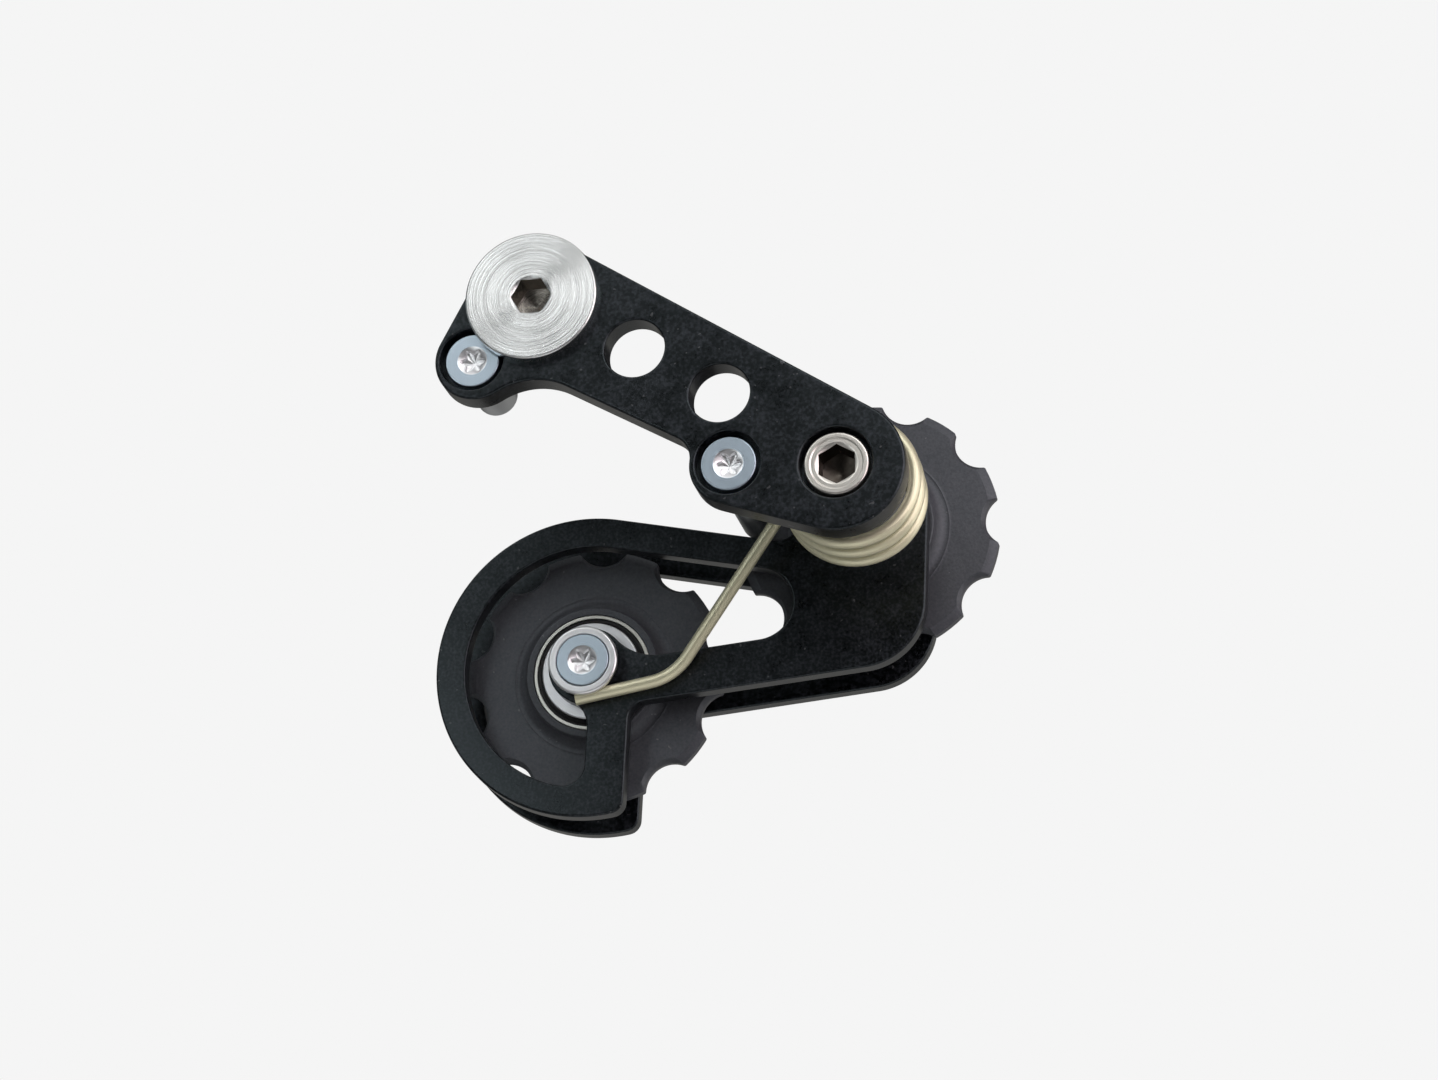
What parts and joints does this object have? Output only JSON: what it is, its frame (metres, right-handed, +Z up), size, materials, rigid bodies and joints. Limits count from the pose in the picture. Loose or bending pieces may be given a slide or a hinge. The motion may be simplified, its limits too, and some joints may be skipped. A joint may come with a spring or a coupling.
{
  "type": "bicycle chain tensioner",
  "caption": "Sprung bicycle chain tensioner: flat mount arm with a hanger bolt, a torsion spring and a swinging cage that carries toothed pulleys on ball bearings.",
  "frame": {"origin": "hanger bolt axis at the arm's back face, which seats on the frame hanger", "axes": "+Y along the hanger bolt towards the bicycle, +Z up, +X forward"},
  "size_m": [0.0801, 0.0449, 0.0779],
  "materials": {
    "black_anodised": "bead-blasted black anodised",
    "turned_stainless": "face-turned",
    "zinc_plated": "bright zinc plated",
    "machined_aluminium": "machined",
    "nickel_steel": "polished nickel plated",
    "bearing_polymer": "moulded",
    "spring_wire": "drawn stainless wire",
    "moulded_nylon": "moulded glass-filled nylon",
    "bearing_steel": "ground",
    "seal_rubber": "moulded seal",
    "retainer_nylon": "moulded"
  },
  "bodies": {
    "arm": {"mount_arm": "black_anodised", "hanger_bolt": "turned_stainless", "hanger_stop_pin": "machined_aluminium", "hanger_stop_screw": "zinc_plated", "cage_stop_pin": "machined_aluminium", "cage_stop_screw": "zinc_plated", "pivot_bolt": "nickel_steel", "spring_guide": "machined_aluminium", "rear_collar": "machined_aluminium", "pivot_washer": "nickel_steel", "pivot_nut": "nickel_steel", "upper_inner_race": "bearing_steel"},
    "cage": {"cage_front_plate": "black_anodised", "cage_back_plate": "black_anodised", "front_plain_bearing": "bearing_polymer", "back_plain_bearing": "bearing_polymer", "lower_axle_bush": "nickel_steel", "lower_axle_sleeve": "machined_aluminium", "lower_axle_screw": "zinc_plated", "lower_axle_nut": "nickel_steel", "lower_front_spacer": "machined_aluminium", "lower_back_spacer": "machined_aluminium", "lower_inner_race": "bearing_steel", "torsion_spring": "spring_wire"},
    "upper_wheel": {"upper_pulley": "moulded_nylon", "upper_outer_race": "bearing_steel", "upper_front_shield": "seal_rubber", "upper_back_shield": "seal_rubber"},
    "lower_wheel": {"lower_pulley": "moulded_nylon", "lower_outer_race": "bearing_steel", "lower_front_shield": "seal_rubber", "lower_back_shield": "seal_rubber"},
    "upper_balls": {"upper_bearing_balls": "bearing_steel", "upper_ball_retainer": "retainer_nylon"},
    "lower_balls": {"lower_bearing_balls": "bearing_steel", "lower_ball_retainer": "retainer_nylon"}
  },
  "joints": [
    {"name": "cage_swing", "type": "hinge", "parent": "arm", "child": "cage", "pos_m": [0.0425, 0.0258, -0.0271], "axis": [0, -1, 0], "range_deg": [0, 130], "stiffness_Nm_per_rad": 0.46, "springref_deg": -51.57, "deforming": ["torsion_spring"]},
    {"name": "upper_wheel_spin", "type": "hinge", "parent": "arm", "child": "upper_wheel", "pos_m": [0.0425, 0.0258, -0.0271], "axis": [0, -1, 0], "continuous": true},
    {"name": "upper_balls_orbit", "type": "hinge", "parent": "arm", "child": "upper_balls", "pos_m": [0.0425, 0.0258, -0.0271], "axis": [0, -1, 0], "continuous": true},
    {"name": "lower_wheel_spin", "type": "hinge", "parent": "cage", "child": "lower_wheel", "pos_m": [0.00275, 0.0258, -0.04655], "axis": [0, -1, 0], "continuous": true},
    {"name": "lower_balls_orbit", "type": "hinge", "parent": "cage", "child": "lower_balls", "pos_m": [0.00275, 0.0258, -0.04655], "axis": [0, -1, 0], "continuous": true}
  ],
  "couplings": [
    {"joint": "upper_balls_orbit", "follows": "upper_wheel_spin", "ratio": 0.625},
    {"joint": "lower_balls_orbit", "follows": "lower_wheel_spin", "ratio": 0.625}
  ]
}
